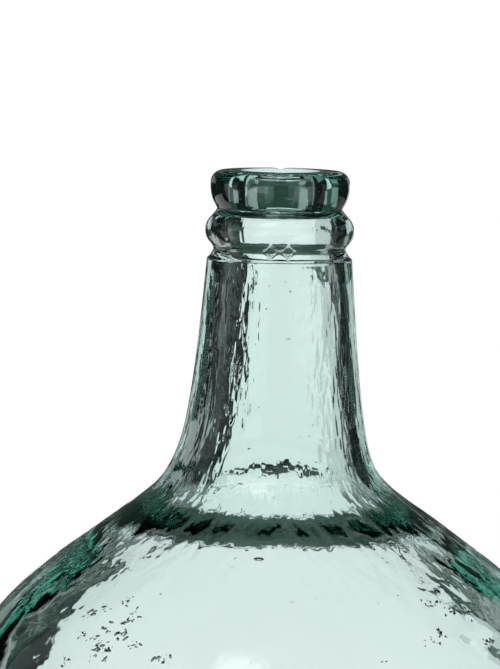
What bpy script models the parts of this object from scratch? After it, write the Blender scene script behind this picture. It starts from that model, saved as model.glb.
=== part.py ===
"""A large glass carboy: a globe-shaped demijohn with a long flared neck and a double-ring mouth.

The vessel is one piece of mould-blown glass, so the model is one hollow solid. It is drawn the way
a turned section is drawn: an outline in the X-Z half plane, spun about +Z. The origin is the centre
of the base, on the plane that the vessel stands on. Lengths are in metres, angles in radians.
"""

import math

import bmesh
import bpy

# Driving dimensions.
HEIGHT = 0.560
BODY_RADIUS = 0.200
BODY_CENTRE_Z = 0.1855
BORE_RADIUS = 0.019

# Below its widest line the body is half an ellipse, a little longer than it is wide.
LOWER_BODY_DEPTH = 0.212
HEEL_RADIUS = 0.022
STANDING_RING_WIDTH = 0.010
PUSH_UP_HEIGHT = 0.016

# Shoulder and neck: a short straight cone above the globe, then one long curve up to the mouth.
SHOULDER_ANGLE = math.radians(54.0)
CONE_LENGTH = 0.048
SHOULDER_HANDLE = 0.0335
NECK_HANDLE = 0.115
NECK_TOP_LEAN = math.radians(4.6)
NECK_TOP_RADIUS = 0.0401
NECK_TOP_Z = HEIGHT - 0.0475
NECK_EDGE_ROUND = 0.0015

# Mouth: a lip band above a round collar ring, with a groove under each.
COLLAR_GROOVE_RADIUS = 0.0362
COLLAR_GROOVE_Z = HEIGHT - 0.0434
COLLAR_CENTRE = (0.0306, HEIGHT - 0.0330)
COLLAR_ROUND = 0.0104
LIP_GROOVE_RADIUS = 0.0343
LIP_GROOVE_Z = HEIGHT - 0.0212
LIP_RADIUS = 0.0383
LIP_SIDE_ROUND = 0.0180
LIP_SIDE_Z = HEIGHT - 0.0093
LIP_TOP_ROUND = 0.0068
BORE_EDGE_ROUND = 0.0035

# The inside of the mouth: hollow behind the collar, narrow and solid in the lip.
THROAT = [
    # radius, depth below the top
    (0.0300, 0.0490),
    (0.0276, 0.0425),
    (0.0313, 0.0357),
    (0.0319, 0.0327),
    (0.0313, 0.0297),
    (0.0295, 0.0269),
    (0.0245, 0.0235),
    (0.0185, 0.0190),
    (0.0184, 0.0140),
    (BORE_RADIUS, 0.0060),
]

# Wall thickness, square to the outside, from the middle of the base up to the neck.
WALL_STATIONS = [
    # height, thickness
    (0.0000, 0.0090),
    (0.0600, 0.0070),
    (0.1900, 0.0062),
    (0.3000, 0.0068),
    (0.3665, 0.0068),
    (0.3810, 0.0114),
    (0.4200, 0.0104),
    (0.5120, 0.0100),
]

SIDES = 64
GLASS_COLOUR = (0.62, 0.80, 0.76, 1.0)


def arc(centre, radius, start, end, steps):
    """Points on a circle about centre, from the angle start to the angle end, both included."""
    angles = [start + (end - start) * i / steps for i in range(steps + 1)]
    return [
        (centre[0] + radius * math.cos(a), centre[1] + radius * math.sin(a)) for a in angles
    ]


def bezier(start, start_handle, end_handle, end, steps):
    """Points on a cubic Bezier curve, both ends included."""
    points = []
    for i in range(steps + 1):
        t = i / steps
        weights = ((1 - t) ** 3, 3 * (1 - t) ** 2 * t, 3 * (1 - t) * t * t, t**3)
        corners = (start, start_handle, end_handle, end)
        points.append(tuple(sum(w * c[k] for w, c in zip(weights, corners)) for k in (0, 1)))
    return points


def lower_body_point(angle):
    """A point on the lower half of the body, and the direction that faces out of it there."""
    r = BODY_RADIUS * math.cos(angle)
    z = BODY_CENTRE_Z + LOWER_BODY_DEPTH * math.sin(angle)
    normal = (math.cos(angle) / BODY_RADIUS, math.sin(angle) / LOWER_BODY_DEPTH)
    length = math.hypot(*normal)
    return (r, z), (normal[0] / length, normal[1] / length)


def base_and_heel():
    """The push-up, the flat standing ring and the heel, and the angle where the heel meets the body."""
    # The heel is an arc that touches the ground plane and the body: its centre is one radius inside both.
    low, high = -math.pi / 2, 0.0
    for _ in range(60):
        angle = (low + high) / 2
        (r, z), normal = lower_body_point(angle)
        if z - HEEL_RADIUS * normal[1] < HEEL_RADIUS:
            low = angle
        else:
            high = angle
    centre = (r - HEEL_RADIUS * normal[0], HEEL_RADIUS)
    heel = arc(centre, HEEL_RADIUS, -math.pi / 2, math.atan2(normal[1], normal[0]), 4)
    ring_inner = centre[0] - STANDING_RING_WIDTH
    dome_radius = (ring_inner**2 + PUSH_UP_HEIGHT**2) / (2 * PUSH_UP_HEIGHT)
    dome_spread = math.asin(ring_inner / dome_radius)
    dome_centre = (0.0, PUSH_UP_HEIGHT - dome_radius)
    dome = arc(dome_centre, dome_radius, math.pi / 2, math.pi / 2 - dome_spread, 4)
    return dome + heel, angle


def body(start_angle):
    """The body above the heel: the lower half ellipse, then the globe up to the shoulder."""
    lower_steps, upper_steps = 7, 6
    lower = [
        lower_body_point(start_angle * (1 - i / lower_steps))[0] for i in range(1, lower_steps)
    ]
    return lower + arc((0.0, BODY_CENTRE_Z), BODY_RADIUS, 0.0, SHOULDER_ANGLE, upper_steps)


def shoulder_and_neck():
    """One curve from the top of the shoulder's cone to the neck's top, tangent to the cone."""
    run = (-math.sin(SHOULDER_ANGLE), math.cos(SHOULDER_ANGLE))
    foot = (
        BODY_RADIUS * math.cos(SHOULDER_ANGLE) + CONE_LENGTH * run[0],
        BODY_CENTRE_Z + BODY_RADIUS * math.sin(SHOULDER_ANGLE) + CONE_LENGTH * run[1],
    )
    top = (NECK_TOP_RADIUS, NECK_TOP_Z - NECK_EDGE_ROUND)
    return bezier(
        foot,
        (foot[0] + SHOULDER_HANDLE * run[0], foot[1] + SHOULDER_HANDLE * run[1]),
        (
            top[0] + NECK_HANDLE * math.sin(NECK_TOP_LEAN),
            top[1] - NECK_HANDLE * math.cos(NECK_TOP_LEAN),
        ),
        top,
        12,
    )


def outside_below_mouth():
    """The outside of the vessel, from the middle of the base up to the neck's top edge."""
    base, body_start = base_and_heel()
    return base + body(body_start) + shoulder_and_neck()


def mouth():
    """The two rings, from the neck's top edge up to the flat top of the lip."""
    edge = [
        (NECK_TOP_RADIUS - 0.3 * NECK_EDGE_ROUND, NECK_TOP_Z - 0.3 * NECK_EDGE_ROUND),
        (NECK_TOP_RADIUS - NECK_EDGE_ROUND, NECK_TOP_Z),
    ]
    collar_groove = [(COLLAR_GROOVE_RADIUS, COLLAR_GROOVE_Z)]
    collar = arc(COLLAR_CENTRE, COLLAR_ROUND, math.radians(-50), math.radians(52), 5)
    lip_groove = [(LIP_GROOVE_RADIUS, LIP_GROOVE_Z)]
    side_centre = (LIP_RADIUS - LIP_SIDE_ROUND, LIP_SIDE_Z)
    side = arc(side_centre, LIP_SIDE_ROUND, math.radians(-30), 0.0, 2)
    top_centre = (LIP_RADIUS - LIP_TOP_ROUND, HEIGHT - LIP_TOP_ROUND)
    top = arc(top_centre, LIP_TOP_ROUND, 0.0, math.pi / 2, 3)
    return edge + collar_groove + collar + lip_groove + side + top


def wall_at(z):
    """The wall's thickness at a height, changing smoothly from one station to the next."""
    for (z0, t0), (z1, t1) in zip(WALL_STATIONS, WALL_STATIONS[1:]):
        if z <= z1:
            share = (z - z0) / (z1 - z0)
            return t0 + (t1 - t0) * share * share * (3 - 2 * share)
    return WALL_STATIONS[-1][1]


def inside(outer):
    """The inner surface from the middle of the base up to the lip: one wall inside, then the bore."""
    points = []
    for i, (r, z) in enumerate(outer):
        before, after = outer[max(0, i - 1)], outer[min(len(outer) - 1, i + 1)]
        along = (after[0] - before[0], after[1] - before[1])
        wall = wall_at(z) / math.hypot(*along)
        points.append((r - along[1] * wall, z + along[0] * wall))
    points[0] = (0.0, outer[0][1] + wall_at(outer[0][1]))
    walled = [p for p in points if p[1] < HEIGHT - THROAT[0][1] - 0.003]
    throat = [(r, HEIGHT - depth) for r, depth in THROAT]
    edge_centre = (BORE_RADIUS + BORE_EDGE_ROUND, HEIGHT - BORE_EDGE_ROUND)
    edge = arc(edge_centre, BORE_EDGE_ROUND, math.pi, math.pi / 2, 2)
    return walled + throat + edge


def glass_material():
    material = bpy.data.materials.new("glass")
    material.use_nodes = True
    shader = material.node_tree.nodes["Principled BSDF"]
    shader.inputs["Base Color"].default_value = GLASS_COLOUR
    shader.inputs["Roughness"].default_value = 0.02
    shader.inputs["Metallic"].default_value = 0.0
    shader.inputs["IOR"].default_value = 1.52
    shader.inputs["Transmission Weight"].default_value = 1.0
    return material


def turned(name, outline, material):
    """A solid of revolution about +Z. The outline starts and ends on the axis."""
    bm = bmesh.new()
    points = [bm.verts.new((r, 0.0, z)) for r, z in outline]
    edges = [bm.edges.new(pair) for pair in zip(points, points[1:])]
    bmesh.ops.spin(
        bm,
        geom=points + edges,
        cent=(0, 0, 0),
        axis=(0, 0, 1),
        angle=math.tau,
        steps=SIDES,
        use_merge=True,
    )
    bmesh.ops.remove_doubles(bm, verts=bm.verts, dist=1e-6)
    bmesh.ops.recalc_face_normals(bm, faces=bm.faces)
    mesh = bpy.data.meshes.new(name)
    bm.to_mesh(mesh)
    bm.free()
    mesh.shade_smooth()
    mesh.set_sharp_from_angle(angle=math.radians(40))
    mesh.materials.append(material)
    vessel = bpy.data.objects.new(name, mesh)
    bpy.context.scene.collection.objects.link(vessel)
    return vessel


def main():
    for obj in list(bpy.data.objects):
        bpy.data.objects.remove(obj)
    outer = outside_below_mouth()
    outline = outer + mouth() + inside(outer)[::-1]
    turned("glass_vessel", outline, glass_material())


main()
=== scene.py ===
import math

import bpy
import numpy as np
from mathutils import Matrix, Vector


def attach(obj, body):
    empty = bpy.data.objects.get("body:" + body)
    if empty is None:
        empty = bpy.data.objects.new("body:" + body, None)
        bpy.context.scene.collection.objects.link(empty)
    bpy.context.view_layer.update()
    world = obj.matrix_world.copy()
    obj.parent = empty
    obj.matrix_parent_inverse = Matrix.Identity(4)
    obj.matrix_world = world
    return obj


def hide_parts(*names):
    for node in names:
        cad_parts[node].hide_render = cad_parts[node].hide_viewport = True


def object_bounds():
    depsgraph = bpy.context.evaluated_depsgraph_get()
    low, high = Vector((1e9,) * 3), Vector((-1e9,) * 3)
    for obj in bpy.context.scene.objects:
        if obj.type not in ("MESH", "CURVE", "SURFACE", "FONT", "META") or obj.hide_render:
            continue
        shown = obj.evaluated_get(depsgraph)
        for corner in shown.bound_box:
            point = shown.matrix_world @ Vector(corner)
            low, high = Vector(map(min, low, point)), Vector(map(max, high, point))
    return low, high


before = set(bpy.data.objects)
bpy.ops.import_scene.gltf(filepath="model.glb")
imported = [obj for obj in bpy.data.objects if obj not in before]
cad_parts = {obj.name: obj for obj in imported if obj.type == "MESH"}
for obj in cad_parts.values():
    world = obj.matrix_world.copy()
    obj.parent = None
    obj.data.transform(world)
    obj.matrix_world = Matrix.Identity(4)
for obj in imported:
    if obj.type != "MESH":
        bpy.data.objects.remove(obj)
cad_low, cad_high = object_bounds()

HEIGHT = cad_high.z
BODY_RADIUS = (cad_high.x - cad_low.x) / 2

# Outline of the glass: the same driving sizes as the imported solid, drawn here as smooth curves.
BODY_CENTRE_Z = 0.1855
LOWER_BODY_DEPTH = 0.212
HEEL_RADIUS = 0.022
STANDING_RING_WIDTH = 0.010
PUSH_UP_HEIGHT = 0.016
SHOULDER_ANGLE = math.radians(54.0)
CONE_LENGTH = 0.048
SHOULDER_HANDLE = 0.0335
NECK_HANDLE = 0.115
NECK_TOP_LEAN = math.radians(4.6)
NECK_TOP_RADIUS = 0.0401
NECK_TOP_Z = HEIGHT - 0.0475
NECK_EDGE_ROUND = 0.0015
NECK_EDGE_MIDDLE = 0.0004  # how far in and down the middle of that rounding lies
COLLAR_GROOVE_RADIUS = 0.0362
COLLAR_GROOVE_Z = HEIGHT - 0.0434
COLLAR_CENTRE = (0.0306, HEIGHT - 0.0330)
COLLAR_ROUND = 0.0104
LIP_GROOVE_RADIUS = 0.0343
LIP_GROOVE_Z = HEIGHT - 0.0212
LIP_RADIUS = 0.0383
LIP_SIDE_ROUND = 0.0180
LIP_SIDE_Z = HEIGHT - 0.0093
LIP_TOP_ROUND = 0.0068
BORE_RADIUS = 0.0190
BORE_EDGE_ROUND = 0.0035

# The inside of the mouth. The neck narrows to a waist, a round chamber lies behind the collar, and above it
# the glass closes in on the bore. The points are radius and depth below the top.
THROAT_BELOW = [(0.0304, 0.0520), (0.0301, 0.0500), (0.0294, 0.0470), (0.0276, 0.0425)]
CHAMBER_CENTRE_RADIUS, CHAMBER_CENTRE_DEPTH = 0.02366, 0.0327
CHAMBER_ROUND = 0.0082
CHAMBER_LEVELS = (0.0058, 0.0044, 0.0030, 0.0015)  # where its arc has points, below its middle and above it
THROAT_ABOVE = [(0.0245, 0.0235), (0.0200, 0.0205), (0.0183, 0.0170), (0.0186, 0.0120), (BORE_RADIUS, 0.0060)]
THROAT_LEAD_IN = 0.004  # height over which the neck's inside runs freely into the throat

# Wall thickness, square to the outside, as height and thickness.
WALL_STATIONS = [(0.0, 0.0090), (0.06, 0.0070), (0.19, 0.0062), (0.30, 0.0068), (0.3660, 0.0068),
                 (0.3845, 0.0114), (0.42, 0.0104), (0.512, 0.0100)]
FLANK_WALL = 0.0032  # extra thickness on the left and right flank of the globe
BACK_GLOBE_WALL = 0.0068
BACK_NECK_WALL = 0.0104
BACK_WALL_RISE = (0.335, 0.415)  # heights between which the back's wall thickens, gentler than the front's

# Softness and mesh density.
FINE_STEP = 0.0001  # spacing of the outline before it is thinned out into mesh rows
OUTSIDE_SOFTENING = 0.0007  # how far fire polishing has rounded the mouth's grooves and edges
INSIDE_SOFTENING = 0.0015
INSIDE_COARSENING = 1.5  # how much further apart the rows are inside than outside
SIDES = 320
SEAM_CROWDING = 0.25  # how much closer the mesh columns stand at the two mould seams, front and back
BUBBLE_RINGS = 6
BUBBLE_SIDES = 10

# Zones by height: something fades in between the first two heights and out between the last two.
NECK_RELIEF_ZONE = (0.372, 0.410, 0.506, 0.512)
NECK_WAVE_ZONE = (0.375, 0.420, 0.505, 0.513)
SHOULDER_RELIEF_ZONE = (0.325, 0.350, 0.385, 0.405)
SHOULDER_WAVE_ZONE = (0.310, 0.345, 0.380, 0.400)
GLOBE_WAVE_END = (0.37, 0.41)
FLANK_WALL_ZONE = (0.20, 0.26, 0.352, 0.366)
BACK_WALL_ZONE = (0.32, 0.335, 0.415, 0.43)
CALM_RADIUS = 0.06  # the waves die away from here to the axis, under the base

# Waves of the blown glass: random seeds outside and inside, how many waves, their lengths round the vessel
# and along its outline, the radius at which the first length holds, and the height.
FINE_RIPPLES = (3, 4), 90, (0.002, 0.006), (0.008, 0.035), 0.045, 0.0000288
DRAWN_RIPPLES = (5, 6), 50, (0.008, 0.022), (0.04, 0.12), 0.045, 0.000056
STREAKS = (13, 14), 90, (0.004, 0.014), (0.02, 0.07), 0.1, 0.00003
SWELLS = (7, 8), 50, (0.025, 0.080), (0.025, 0.080), 0.15, 0.00007
HAMMERED = (9, 10), 90, (0.006, 0.016), (0.006, 0.016), 0.15, 0.000018

# Where the two halves of the mould met.
DIAMOND_Z = HEIGHT - 0.0425
DIAMOND_RADIUS = 0.039
DIAMOND_HALF_WIDTH = 0.0048
DIAMOND_HALF_HEIGHT = 0.0036
DIAMOND_RIDGE = 0.0006
NICK_RADIUS = 0.034
NICK_HALF_WIDTH = 0.0028
NICK_DEPTH = 0.0009

# A blister in the front of the shoulder: angle round from the front, height, length, width, depth, tilt.
BLISTER = (-0.078, 0.3611, 0.0056, 0.0026, 0.0022, 0.0)
# Single seeds: how many, lowest and highest, smallest and largest.
GLOBE_SEEDS = 170, (0.11, 0.36), (0.0004, 0.0011)
NECK_SEEDS = 40, (0.39, 0.505), (0.0004, 0.0008)
# Crowds of drawn-out seeds: angle round from the front, height, spread, how many clusters.
CROWDS = [(-0.66, 0.327, 0.10, 11), (-0.55, 0.318, 0.10, 8), (0.78, 0.329, 0.07, 8), (2.6, 0.24, 0.15, 10)]

# The glass. What it absorbs per metre is the density times one minus the colour.
REFRACTION = 1.52
GLASS_COLOUR = (0.08, 0.66, 0.56, 1.0)
GLASS_DENSITY = 20.0
DRAWN_BUMP = (0.0030, 0.00016)  # size and height of the finest ripple, drawn out along the glass
EVEN_BUMP = (0.006, 0.00010)
DRAWN_RADIUS = 0.045  # the drawn ripple keeps its size round the neck and is drawn out along the outline
DRAWN_ALONG = 0.25

# The camera stands in front of the vessel with a long lens, above its top, and looks down and a little askew.
CAMERA_PLACE = (0.0, -2.0, 0.66)
SENSOR_WIDTH = 36.0
LENS = 196.2
PITCH, YAW, ROLL = math.radians(-5.447), math.radians(-0.4276), math.radians(0.957)

# The studio round the glass, by direction from it: azimuth 0 is straight behind the vessel, seen from the
# front, and 90 is to its right. Each panel is azimuth, half width, lowest and highest elevation, all in
# degrees, then the softness of its edges, its brightness and its colour.
DAYLIGHT = (0.93, 0.97, 1.0)
NEUTRAL = (1.0, 1.0, 1.0)
WARM_GREY = (1.07, 0.94, 0.98)
GARDEN = (0.52, 1.0, 0.76)
PANELS = [
    # The bright background behind the vessel, a little weaker to the right.
    (-0.5, 8.75, -14.2, -2.9, 0.6, 1.05, NEUTRAL),
    (15.75, 7.0, -14.2, -2.9, 0.6, 0.78, NEUTRAL),
    # Backdrops behind the vessel when it is seen from its sides and corners.
    (-45.0, 17.0, -44.0, -14.0, 2.0, 0.85, NEUTRAL),
    (-90.0, 14.0, -30.0, 16.0, 3.0, 0.28, NEUTRAL),
    (-90.0, 13.0, -30.0, 0.5, 2.0, 0.50, NEUTRAL),
    (138.0, 18.0, -38.0, -11.0, 2.0, 0.85, NEUTRAL),
    (45.0, 17.0, -44.0, -14.0, 2.0, 0.25, NEUTRAL),
    (92.0, 15.0, -34.0, 12.0, 2.0, 0.30, NEUTRAL),
    (-138.0, 18.0, -38.0, -3.0, 2.0, 0.30, NEUTRAL),
    # Dim things above the background, left and right, with foliage between them.
    (-32.0, 12.0, -0.5, 10.0, 2.0, 0.42, WARM_GREY),
    (22.0, 5.5, -0.5, 10.0, 2.0, 0.40, WARM_GREY),
    (0.0, 32.0, -2.2, 30.0, 1.0, 0.070, GARDEN),
    # Pale ground behind and below.
    (0.0, 14.0, -62.0, -23.0, 2.0, 1.0, NEUTRAL),
    # Windows behind the camera, to its right and its left.
    (138.0, 17.0, -11.0, 2.5, 1.5, 0.95, DAYLIGHT),
    (211.0, 11.0, -11.0, 0.5, 1.5, 1.5, DAYLIGHT),
    # Light from above, in front and behind.
    (180.0, 60.0, 44.0, 56.0, 4.0, 1.1, NEUTRAL),
    (-156.0, 15.0, 57.0, 68.0, 6.0, 2.2, NEUTRAL),
    (0.0, 28.0, 50.0, 76.0, 3.0, 0.2, NEUTRAL),
]
SURROUND = 0.012  # brightness between the panels
BACKGROUND = 1.0  # what the camera sees past the glass
FLOOR_LIGHT = 1.05

FLOOR_REACH = 0.40
FLOOR_SIDES = 96
FLOOR_DROP = 0.0002  # the floor lies this much below the base
FLOOR_FADE_START = 0.12
FLOOR_FADE_END = 0.98 * FLOOR_REACH
FLOOR_COLOUR = (0.88, 0.88, 0.88, 1.0)


def arc(centre, radius, start, end, steps=120):
    """Points on a circle about centre, from the angle start to the angle end."""
    a = np.linspace(start, end, steps)
    return np.c_[centre[0] + radius * np.cos(a), centre[1] + radius * np.sin(a)]


def bezier(start, start_handle, end_handle, end, steps=300):
    """Points on a cubic Bezier curve, both ends included."""
    t = np.linspace(0, 1, steps)[:, None]
    corners = [np.array(p) for p in (start, start_handle, end_handle, end)]
    weights = ((1 - t) ** 3, 3 * (1 - t) ** 2 * t, 3 * (1 - t) * t * t, t**3)
    return sum(w * c for w, c in zip(weights, corners))


def lower_body_point(angle):
    """A point on the lower half of the body, and the direction that faces out of it there."""
    point = np.array((BODY_RADIUS * math.cos(angle), BODY_CENTRE_Z + LOWER_BODY_DEPTH * math.sin(angle)))
    normal = np.array((math.cos(angle) / BODY_RADIUS, math.sin(angle) / LOWER_BODY_DEPTH))
    return point, normal / np.linalg.norm(normal)


def base_and_lower_body():
    """Push-up, flat standing ring, heel and the lower half of the globe."""
    low, high = -math.pi / 2, 0.0
    for _ in range(60):
        angle = (low + high) / 2
        point, normal = lower_body_point(angle)
        if point[1] - HEEL_RADIUS * normal[1] < HEEL_RADIUS:
            low = angle
        else:
            high = angle
    centre = (point[0] - HEEL_RADIUS * normal[0], HEEL_RADIUS)
    heel = arc(centre, HEEL_RADIUS, -math.pi / 2, math.atan2(normal[1], normal[0]))
    ring_inner = centre[0] - STANDING_RING_WIDTH
    dome_radius = (ring_inner**2 + PUSH_UP_HEIGHT**2) / (2 * PUSH_UP_HEIGHT)
    spread = math.asin(ring_inner / dome_radius)
    dome = arc((0.0, PUSH_UP_HEIGHT - dome_radius), dome_radius, math.pi / 2, math.pi / 2 - spread)
    lower = np.array([lower_body_point(a)[0] for a in np.linspace(angle, 0.0, 200)])
    return np.vstack((dome, heel, lower))


def shoulder_and_neck():
    """The upper half of the globe, the straight cone above it and the long curve of the neck."""
    run = np.array((-math.sin(SHOULDER_ANGLE), math.cos(SHOULDER_ANGLE)))
    globe = arc((0.0, BODY_CENTRE_Z), BODY_RADIUS, 0.0, SHOULDER_ANGLE, 300)
    foot = globe[-1] + CONE_LENGTH * run
    top = np.array((NECK_TOP_RADIUS, NECK_TOP_Z - NECK_EDGE_ROUND))
    lean = np.array((math.sin(NECK_TOP_LEAN), -math.cos(NECK_TOP_LEAN)))
    neck = bezier(foot, foot + SHOULDER_HANDLE * run, top + NECK_HANDLE * lean, top)
    return np.vstack((globe, neck))


def mouth():
    """The neck's rounded top edge, the collar ring and the lip, each above its groove."""
    edge = [(NECK_TOP_RADIUS - NECK_EDGE_MIDDLE, NECK_TOP_Z - NECK_EDGE_MIDDLE),
            (NECK_TOP_RADIUS - NECK_EDGE_ROUND, NECK_TOP_Z)]
    collar = arc(COLLAR_CENTRE, COLLAR_ROUND, math.radians(-50), math.radians(52))
    side = arc((LIP_RADIUS - LIP_SIDE_ROUND, LIP_SIDE_Z), LIP_SIDE_ROUND, math.radians(-30), 0.0)
    top = arc((LIP_RADIUS - LIP_TOP_ROUND, HEIGHT - LIP_TOP_ROUND), LIP_TOP_ROUND, 0.0, math.pi / 2)
    collar_groove = [(COLLAR_GROOVE_RADIUS, COLLAR_GROOVE_Z)]
    lip_groove = [(LIP_GROOVE_RADIUS, LIP_GROOVE_Z)]
    return np.vstack((edge, collar_groove, collar, lip_groove, side, top))


def evenly(points, step=FINE_STEP):
    """The same line with points at equal steps along it."""
    length = np.r_[0, np.cumsum(np.hypot(*np.diff(points, axis=0).T))]
    keep = np.r_[True, np.diff(length) > 1e-9]
    at = np.linspace(0, length[-1], max(2, int(length[-1] / step)))
    return np.c_[np.interp(at, length[keep], points[keep, 0]), np.interp(at, length[keep], points[keep, 1])]


def softened(points, reach):
    """The line with its corners rounded off over about reach, both ends kept."""
    half = int(4 * reach / FINE_STEP)
    kernel = np.exp(-0.5 * (np.arange(-half, half + 1) * FINE_STEP / reach) ** 2)
    kernel /= kernel.sum()
    before = 2 * points[0] - points[half:0:-1]
    after = 2 * points[-1] - points[-2 : -half - 2 : -1]
    padded = np.vstack((before, points, after))
    return np.c_[np.convolve(padded[:, 0], kernel, "valid"), np.convolve(padded[:, 1], kernel, "valid")]


def directions(line):
    """The direction of the line at each of its points."""
    along = np.gradient(line, axis=0)
    return along / np.maximum(np.hypot(*along.T)[:, None], 1e-12)


def wall_at(z):
    """The wall's thickness at the heights z, with soft changes between the stations."""
    heights, walls = np.array(WALL_STATIONS).T
    wall = np.full(len(z), walls[-1])
    for z0, z1, t0, t1 in zip(heights, heights[1:], walls, walls[1:]):
        share = np.clip((z - z0) / (z1 - z0), 0, 1)
        here = (z >= z0) & (z < z1)
        wall[here] = (t0 + (t1 - t0) * share * share * (3 - 2 * share))[here]
    return wall


def throat_line():
    """From the end of the neck up to the bore, as radius and height, to a tenth of a millimetre."""
    chamber = []
    for rise in (*CHAMBER_LEVELS, 0.0, *(-level for level in reversed(CHAMBER_LEVELS))):
        reach = math.sqrt(CHAMBER_ROUND**2 - rise**2)
        chamber.append((round(CHAMBER_CENTRE_RADIUS + reach, 4), round(CHAMBER_CENTRE_DEPTH + rise, 4)))
    return [(r, HEIGHT - depth) for r, depth in (*THROAT_BELOW, *chamber, *THROAT_ABOVE)]


def inner_line(outer):
    """The inside of the glass, one wall in from the outside, and then the throat and the bore."""
    along = directions(outer)
    line = outer + np.c_[-along[:, 1], along[:, 0]] * wall_at(outer[:, 1])[:, None]
    line = line[line[:, 1] < HEIGHT - THROAT_BELOW[0][1] - THROAT_LEAD_IN]
    line = line[: np.argmax(line[:, 1]) + 1]
    edge_centre = (BORE_RADIUS + BORE_EDGE_ROUND, HEIGHT - BORE_EDGE_ROUND)
    edge = arc(edge_centre, BORE_EDGE_ROUND, math.pi, math.pi / 2)
    line = np.vstack((line, throat_line(), edge))
    line[:, 0] = np.maximum(line[:, 0], 0)
    return line


def rows_of(line, spacing):
    """Picks mesh rows from a fine line; spacing gives the distance between rows at a height."""
    wanted = np.cumsum(FINE_STEP / spacing(line[:, 1]))
    count = int(wanted[-1])
    picks = np.searchsorted(wanted, np.arange(count) * wanted[-1] / count)
    return line[np.unique(np.r_[picks, len(line) - 1])]


def outside_spacing(z):
    """The distance between the outside's mesh rows: closest at the mouth, widest low on the globe."""
    return np.interp(z, (0.20, 0.28, 0.34, 0.38, 0.50, 0.512),
                     (0.006, 0.0025, 0.0015, 0.0012, 0.0012, 0.0006))


def inside_spacing(z):
    return INSIDE_COARSENING * outside_spacing(z)


def vessel_outline():
    """The mesh rows as radius and height, up the outside and down the inside."""
    outer = evenly(np.vstack((base_and_lower_body(), shoulder_and_neck(), mouth())))
    outer = softened(outer, OUTSIDE_SOFTENING)
    rising = np.maximum.accumulate(outer[:, 1])
    below_mouth = outer[: np.searchsorted(rising, NECK_TOP_Z - NECK_EDGE_ROUND)]
    inner = softened(evenly(inner_line(below_mouth)), INSIDE_SOFTENING)
    return np.vstack((rows_of(outer, outside_spacing), rows_of(inner, inside_spacing)[::-1]))


def on_inside(outline):
    """Which rows of the outline lie on the inside, past the highest point."""
    return (np.arange(len(outline)) > np.argmax(outline[:, 1]))[:, None]


def meridian(outline):
    """Distance along the outline from its highest point, the same down the outside and the inside."""
    s = np.r_[0, np.cumsum(np.hypot(*np.diff(outline, axis=0).T))]
    return np.abs(s - s[np.argmax(outline[:, 1])])


def smooth_step(x, low, high):
    t = np.clip((x - low) / (high - low), 0, 1)
    return t * t * (3 - 2 * t)


def zone(z, low, low_full, high_full, high):
    """1 inside a zone of heights and 0 outside it, with soft ends."""
    return smooth_step(z, low, low_full) * (1 - smooth_step(z, high_full, high))


class Waves:
    """A smooth random height field on a vessel: a sum of waves with lengths in the given ranges."""

    def __init__(self, seed, count, across, along):
        rng = np.random.default_rng(seed)
        self.k_across = 2 * np.pi / rng.uniform(*across, count) * rng.choice((-1, 1), count)
        self.k_along = 2 * np.pi / rng.uniform(*along, count)
        self.phase = rng.uniform(0, 2 * np.pi, count)

    def __call__(self, theta, s, radius):
        """Heights with a mean square of one. Each wave goes a whole number of times round."""
        total = np.zeros(np.broadcast(theta, s).shape)
        for ka, ks, p in zip(self.k_across, self.k_along, self.phase):
            turns = np.round(ka * radius)
            total += np.cos(turns * theta + ks * s + p)
        return total * math.sqrt(2 / len(self.phase))


def mould_marks(theta, z):
    """Where the two halves of the mould met, front and back: a nick in the rim and a double diamond."""
    from_front = np.arctan2(np.cos(theta), -np.sin(theta))
    u = from_front * DIAMOND_RADIUS
    ridge = 0.0
    for middle in (-DIAMOND_HALF_WIDTH, DIAMOND_HALF_WIDTH):
        diamond = np.abs(u - middle) / DIAMOND_HALF_WIDTH + np.abs(z - DIAMOND_Z) / DIAMOND_HALF_HEIGHT
        ridge = ridge + np.exp(-(((diamond - 0.85) / 0.16) ** 2))
    from_seam = np.minimum(np.abs(from_front), np.pi - np.abs(from_front)) * NICK_RADIUS
    nick = np.exp(-((from_seam / NICK_HALF_WIDTH) ** 2)) * smooth_step(z, HEIGHT - 0.0025, HEIGHT - 0.0005)
    return DIAMOND_RIDGE * ridge - NICK_DEPTH * nick


def relief_at(theta, z):
    """How strongly the glass is textured.

    On the neck it is strongest midway between the flanks and the seams. The shoulder comes next, and the
    globe has least.
    """
    neck = zone(z, *NECK_RELIEF_ZONE)
    round_neck = 0.35 + 0.75 * np.sin(2 * theta) ** 2
    return neck * round_neck + (1 - neck) * 0.28 + zone(z, *SHOULDER_RELIEF_ZONE) * 0.6


def extra_wall(theta, z):
    """How much thicker the wall is than wall_at says, on the globe's flanks and evened out at the back."""
    flanks = FLANK_WALL * np.cos(theta) ** 8 * zone(z, *FLANK_WALL_ZONE)
    gentle = BACK_GLOBE_WALL + (BACK_NECK_WALL - BACK_GLOBE_WALL) * smooth_step(z, *BACK_WALL_RISE)
    sharp = wall_at(z.ravel()).reshape(z.shape)
    back = smooth_step(np.sin(theta), 0.1, 0.8) * zone(z, *BACK_WALL_ZONE)
    return flanks + back * (gentle - sharp)


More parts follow.
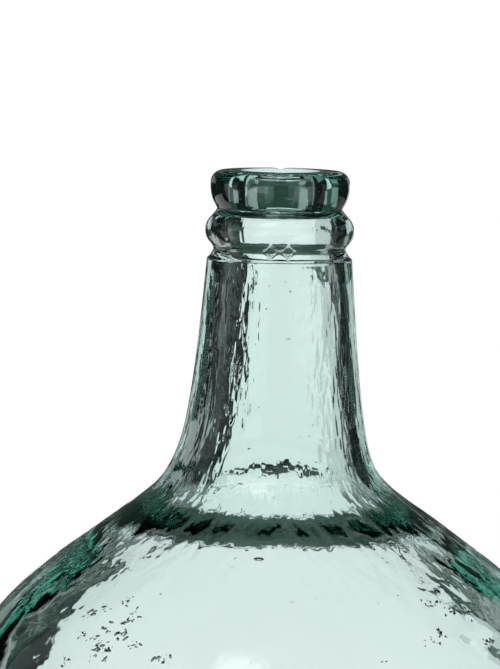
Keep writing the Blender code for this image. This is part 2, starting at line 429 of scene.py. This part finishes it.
def vessel_shift(theta, outline, normal):
    """How far each point moves along its normal: waves of the blown glass, mould marks, uneven wall."""
    s = meridian(outline)[:, None]
    z = outline[:, 1, None]
    inside = on_inside(outline)

    def waves(seeds, count, across, along, radius, height):
        outer, inner = (Waves(seed, count, across, along)(theta, s, radius) for seed in seeds)
        return height * np.where(inside, inner, outer)

    on_neck = (waves(*FINE_RIPPLES) + waves(*DRAWN_RIPPLES)) * zone(z, *NECK_WAVE_ZONE) * relief_at(theta, z)
    on_globe = (waves(*SWELLS) + waves(*HAMMERED)) * (1 - smooth_step(z, *GLOBE_WAVE_END))
    on_shoulder = waves(*STREAKS) * zone(z, *SHOULDER_WAVE_ZONE)
    calm = np.clip(outline[:, 0, None] / CALM_RADIUS, 0, 1)
    # The height on the outside straight across the wall, for the points of the inside.
    opposite = z - normal[:, 1, None] * wall_at(outline[:, 1] + 0.006)[:, None]
    marks = np.where(inside, extra_wall(theta, opposite), mould_marks(theta, z))
    return (on_neck + on_globe + on_shoulder) * calm + marks


def neck_bend(z):
    """The hand-blown neck isn't quite straight: how far its centre lies to the right at a height."""
    return np.interp(z, (0.37, 0.384, 0.396, 0.418, 0.45, 0.48, 0.51, 0.545),
                     (0.0, -0.0008, -0.0016, -0.0006, 0.0, 0.0004, 0.0006, 0.0003))


def cavity_shift(z):
    """How far the inside of the neck lies to the right of the outside: the wall is thicker on the left."""
    return np.interp(z, (0.385, 0.42, 0.50, 0.515), (0.0, 0.0008, 0.0008, 0.0))


def add_bubble(vertices, faces, centre, axes):
    """A hollow in the glass: an ellipsoid whose faces look inwards, into the hollow."""
    start = len(vertices)
    for a in np.linspace(-math.pi / 2, math.pi / 2, BUBBLE_RINGS + 2)[1:-1]:
        for b in np.linspace(0, 2 * math.pi, BUBBLE_SIDES, endpoint=False):
            unit = (math.cos(a) * math.cos(b), math.cos(a) * math.sin(b), math.sin(a))
            vertices.append(tuple(float(v) for v in centre + np.array(unit) @ axes))
    vertices.append(tuple(float(v) for v in centre - axes[2]))
    vertices.append(tuple(float(v) for v in centre + axes[2]))
    low, high = len(vertices) - 2, len(vertices) - 1
    for i in range(BUBBLE_RINGS - 1):
        for j in range(BUBBLE_SIDES):
            k = (j + 1) % BUBBLE_SIDES
            p, q = start + i * BUBBLE_SIDES, start + (i + 1) * BUBBLE_SIDES
            faces.append((p + j, q + j, q + k, p + k))
    last = start + (BUBBLE_RINGS - 1) * BUBBLE_SIDES
    for j in range(BUBBLE_SIDES):
        k = (j + 1) % BUBBLE_SIDES
        faces.append((low, start + j, start + k))
        faces.append((high, last + k, last + j))


def add_bubbles(vertices, faces, outline):
    """The blister, single seeds in globe and neck, and crowds of drawn-out seeds on the globe."""
    outer = outline[: np.argmax(outline[:, 1])]
    outer = outer[outer[:, 1] > 0.1]
    along = directions(outer)
    rng = np.random.default_rng(21)

    def place(side, z, length, width, thick, turn, share=0.5):
        """side is the angle round from the front, positive to the right; turn is the long axis's tilt."""
        r = np.interp(z, outer[:, 1], outer[:, 0])
        up = np.array([np.interp(z, outer[:, 1], along[:, i]) for i in (0, 1)])
        round_x, round_y = math.sin(side), -math.cos(side)
        out = np.array((up[1] * round_x, up[1] * round_y, -up[0]))
        upward = np.array((up[0] * round_x, up[0] * round_y, up[1]))
        across = np.array((-round_y, round_x, 0.0))
        wall = float(wall_at(np.array([z]))[0])
        centre = np.array((r * round_x + float(neck_bend(z)), r * round_y, z)) - out * wall * share
        long_axis = math.cos(turn) * across + math.sin(turn) * upward
        short_axis = -math.sin(turn) * across + math.cos(turn) * upward
        axes = np.array((long_axis * length / 2, short_axis * width / 2, out * thick / 2))
        add_bubble(vertices, faces, centre, axes)

    place(*BLISTER)
    count, heights, sizes = GLOBE_SEEDS
    for _ in range(count):
        side, z, size = rng.uniform(-math.pi, math.pi), rng.uniform(*heights), rng.uniform(*sizes)
        place(side, z, size * rng.uniform(1, 2.5), size, size, rng.uniform(-0.4, 0.4), rng.uniform(0.3, 0.7))
    count, heights, sizes = NECK_SEEDS
    for _ in range(count):
        side, z, size = rng.uniform(-math.pi, math.pi), rng.uniform(*heights), rng.uniform(*sizes)
        place(side, z, size * 1.6, size, size, math.pi / 2, rng.uniform(0.3, 0.7))
    for middle, z, spread, clusters in CROWDS:
        for _ in range(clusters):
            side, height, lean = rng.normal(middle, spread), rng.normal(z, 0.009), rng.uniform(-0.3, 1.1)
            for _ in range(rng.integers(4, 13)):
                size = 0.0004 + 0.0014 * rng.random() ** 2
                place(side + rng.normal(0, 0.013), height + rng.normal(0, 0.0014), size * rng.uniform(1, 2.8),
                      size, size, lean + rng.normal(0, 0.6), rng.uniform(0.3, 0.6))


def make_vessel(name):
    """The glass as one closed turned mesh, with its bubbles and what the material needs to know."""
    outline = vessel_outline()
    theta = np.linspace(0, 2 * np.pi, SIDES, endpoint=False)
    theta = theta + SEAM_CROWDING * np.sin(2 * theta)
    along = directions(outline)
    normal = np.c_[along[:, 1], -along[:, 0]]
    shift = vessel_shift(theta[None, :], outline, normal)
    r = outline[:, 0, None] + normal[:, 0, None] * shift
    z = outline[:, 1, None] + normal[:, 1, None] * shift
    centre = neck_bend(z) + on_inside(outline) * cavity_shift(z)
    rings = np.stack((r * np.cos(theta) + centre, r * np.sin(theta), z), -1)[1:-1]
    index = np.arange(len(rings) * SIDES).reshape(-1, SIDES)
    following = np.roll(index, -1, axis=1)
    quads = np.stack((index[:-1], following[:-1], following[1:], index[1:]), -1)
    coordinates = rings.reshape(-1, 3).tolist()
    faces = quads.reshape(-1, 4).tolist()
    bottom, top = len(coordinates), len(coordinates) + 1
    coordinates.append((0.0, 0.0, float(z[0].mean())))
    coordinates.append((0.0, 0.0, float(z[-1].mean())))
    for i in range(SIDES):
        j = (i + 1) % SIDES
        faces.append((bottom, int(index[0, j]), int(index[0, i])))
        faces.append((top, int(index[-1, i]), int(index[-1, j])))
    add_bubbles(coordinates, faces, outline)
    mesh = bpy.data.meshes.new(name)
    mesh.from_pydata(coordinates, [], faces)
    mesh.shade_smooth()
    add_texture_data(mesh, outline[1:-1], meridian(outline)[1:-1, None], theta)
    vessel = bpy.data.objects.new(name, mesh)
    bpy.context.scene.collection.objects.link(vessel)
    return vessel


def add_texture_data(mesh, outline, s, theta):
    """Stores where each point of the rings lies for the drawn ripple, and how strong the ripple is there."""
    flow = np.stack((DRAWN_RADIUS * np.cos(theta) + 0 * s, DRAWN_RADIUS * np.sin(theta) + 0 * s,
                     DRAWN_ALONG * s + 0 * theta), -1).reshape(-1, 3)
    plain = len(mesh.vertices) - len(flow)
    flow = np.vstack((flow, np.zeros((plain, 3))))
    relief = np.r_[relief_at(theta[None, :], outline[:, 1, None]).ravel(), np.zeros(plain)]
    attribute = mesh.attributes.new("drawn", "FLOAT_VECTOR", "POINT")
    attribute.data.foreach_set("vector", flow.astype(np.float32).ravel())
    attribute = mesh.attributes.new("relief", "FLOAT", "POINT")
    attribute.data.foreach_set("value", relief.astype(np.float32))


def glass_material():
    """Clear glass with absorption through its thickness and the finest ripple as bump."""
    material = bpy.data.materials.new("aqua_glass")
    material.use_nodes = True
    nodes, links = material.node_tree.nodes, material.node_tree.links
    shader = nodes["Principled BSDF"]
    shader.inputs["Base Color"].default_value = (1.0, 1.0, 1.0, 1.0)
    shader.inputs["Roughness"].default_value = 0.0
    shader.inputs["IOR"].default_value = REFRACTION
    shader.inputs["Transmission Weight"].default_value = 1.0
    drawn = nodes.new("ShaderNodeAttribute")
    drawn.attribute_name = "drawn"
    relief = nodes.new("ShaderNodeAttribute")
    relief.attribute_name = "relief"
    even = nodes.new("ShaderNodeTexCoord")
    bump = None
    for coordinates, (size, height) in ((drawn.outputs["Vector"], DRAWN_BUMP),
                                        (even.outputs["Object"], EVEN_BUMP)):
        noise = nodes.new("ShaderNodeTexNoise")
        links.new(coordinates, noise.inputs["Vector"])
        noise.inputs["Scale"].default_value = 1 / size
        noise.inputs["Detail"].default_value = 1.0
        scaled = nodes.new("ShaderNodeMath")
        scaled.operation = "MULTIPLY"
        links.new(noise.outputs["Fac"], scaled.inputs[0])
        links.new(relief.outputs["Fac"], scaled.inputs[1])
        layer = nodes.new("ShaderNodeBump")
        layer.inputs["Strength"].default_value = 1.0
        layer.inputs["Distance"].default_value = height
        links.new(scaled.outputs[0], layer.inputs["Height"])
        if bump:
            links.new(bump, layer.inputs["Normal"])
        bump = layer.outputs["Normal"]
    links.new(bump, shader.inputs["Normal"])
    volume = nodes.new("ShaderNodeVolumeAbsorption")
    volume.inputs["Color"].default_value = GLASS_COLOUR
    volume.inputs["Density"].default_value = GLASS_DENSITY
    links.new(volume.outputs["Volume"], nodes["Material Output"].inputs["Volume"])
    return material


def make_camera():
    data = bpy.data.cameras.new("camera")
    camera = bpy.data.objects.new("camera", data)
    bpy.context.scene.collection.objects.link(camera)
    data.sensor_width = SENSOR_WIDTH
    data.lens = LENS
    data.clip_start, data.clip_end = 0.05, 50.0
    camera.location = CAMERA_PLACE
    sideways = Matrix.Rotation(-YAW, 4, "Z")
    upright = Matrix.Rotation(math.pi / 2 + PITCH, 4, "X")
    camera.rotation_mode = "QUATERNION"
    camera.rotation_quaternion = (sideways @ upright @ Matrix.Rotation(ROLL, 4, "Z")).to_quaternion()
    bpy.context.scene.camera = camera


def make_world():
    """Panels of light in a dark studio. The camera and the floor see an even white surround instead."""
    world = bpy.data.worlds.new("studio")
    world.use_nodes = True
    bpy.context.scene.world = world
    nodes, links = world.node_tree.nodes, world.node_tree.links

    def math_node(operation, a, b=None, c=None):
        node = nodes.new("ShaderNodeMath")
        node.operation = operation
        for socket, value in zip(node.inputs, (a, b, c)):
            if isinstance(value, (int, float)):
                socket.default_value = value
            elif value is not None:
                links.new(value, socket)
        return node.outputs[0]

    def ramp(value, low, high):
        """Smoothly 0 at low and 1 at high."""
        node = nodes.new("ShaderNodeMapRange")
        node.interpolation_type = "SMOOTHSTEP"
        links.new(value, node.inputs["Value"])
        node.inputs["From Min"].default_value = low
        node.inputs["From Max"].default_value = high
        return node.outputs["Result"]

    direction = nodes.new("ShaderNodeTexCoord").outputs["Generated"]
    split = nodes.new("ShaderNodeSeparateXYZ")
    links.new(direction, split.inputs[0])
    azimuth = math_node("DEGREES", math_node("ARCTAN2", split.outputs["X"], split.outputs["Y"]))
    elevation = math_node("DEGREES", math_node("ARCSINE", split.outputs["Z"]))

    surround = nodes.new("ShaderNodeCombineXYZ")
    for socket in surround.inputs:
        socket.default_value = SURROUND
    total = surround.outputs[0]
    for centre, half, low, high, soft, brightness, colour in PANELS:
        across = math_node("WRAP", math_node("SUBTRACT", azimuth, centre), 180.0, -180.0)
        across = ramp(math_node("ABSOLUTE", across), half + soft, half)
        upright = math_node("MULTIPLY", ramp(elevation, low - soft, low), ramp(elevation, high + soft, high))
        scaled = nodes.new("ShaderNodeVectorMath")
        scaled.operation = "SCALE"
        scaled.inputs[0].default_value = [brightness * c for c in colour]
        links.new(math_node("MULTIPLY", across, upright), scaled.inputs["Scale"])
        added = nodes.new("ShaderNodeVectorMath")
        added.operation = "ADD"
        links.new(total, added.inputs[0])
        links.new(scaled.outputs[0], added.inputs[1])
        total = added.outputs[0]

    path = nodes.new("ShaderNodeLightPath")
    for flag, level in ((math_node("MINIMUM", path.outputs["Diffuse Depth"], 1.0), FLOOR_LIGHT),
                        (path.outputs["Is Camera Ray"], BACKGROUND)):
        mix = nodes.new("ShaderNodeMix")
        mix.data_type = "RGBA"
        links.new(flag, mix.inputs["Factor"])
        links.new(total, mix.inputs["A"])
        mix.inputs["B"].default_value = (level, level, level, 1.0)
        total = mix.outputs["Result"]
    links.new(total, nodes["Background"].inputs["Color"])


def make_floor():
    """A plain pale floor whose edge fades into the surround."""
    mesh = bpy.data.meshes.new("floor")
    angles = [2 * math.pi * i / FLOOR_SIDES for i in range(FLOOR_SIDES)]
    ring = [(FLOOR_REACH * math.cos(a), FLOOR_REACH * math.sin(a), -FLOOR_DROP) for a in angles]
    mesh.from_pydata(ring, [], [tuple(range(FLOOR_SIDES))])
    floor = bpy.data.objects.new("floor", mesh)
    bpy.context.scene.collection.objects.link(floor)
    material = bpy.data.materials.new("pale_floor")
    material.use_nodes = True
    nodes, links = material.node_tree.nodes, material.node_tree.links
    shader = nodes["Principled BSDF"]
    shader.inputs["Base Color"].default_value = FLOOR_COLOUR
    shader.inputs["Roughness"].default_value = 0.9
    shader.inputs["Specular IOR Level"].default_value = 0.0
    place = nodes.new("ShaderNodeTexCoord")
    distance = nodes.new("ShaderNodeVectorMath")
    distance.operation = "LENGTH"
    links.new(place.outputs["Object"], distance.inputs[0])
    fade = nodes.new("ShaderNodeMapRange")
    fade.interpolation_type = "SMOOTHSTEP"
    links.new(distance.outputs["Value"], fade.inputs["Value"])
    fade.inputs["From Min"].default_value = FLOOR_FADE_START
    fade.inputs["From Max"].default_value = FLOOR_FADE_END
    fade.inputs["To Min"].default_value = 1.0
    fade.inputs["To Max"].default_value = 0.0
    links.new(fade.outputs["Result"], shader.inputs["Alpha"])
    mesh.materials.append(material)


make_camera()
make_world()
make_floor()
vessel = make_vessel("carboy_glass")
vessel.data.materials.append(glass_material())
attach(vessel, "root")
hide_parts("glass_vessel")

scene = bpy.context.scene
scene.view_settings.view_transform = "Standard"
scene.cycles.max_bounces = 24
scene.cycles.transmission_bounces = 24
scene.cycles.glossy_bounces = 12
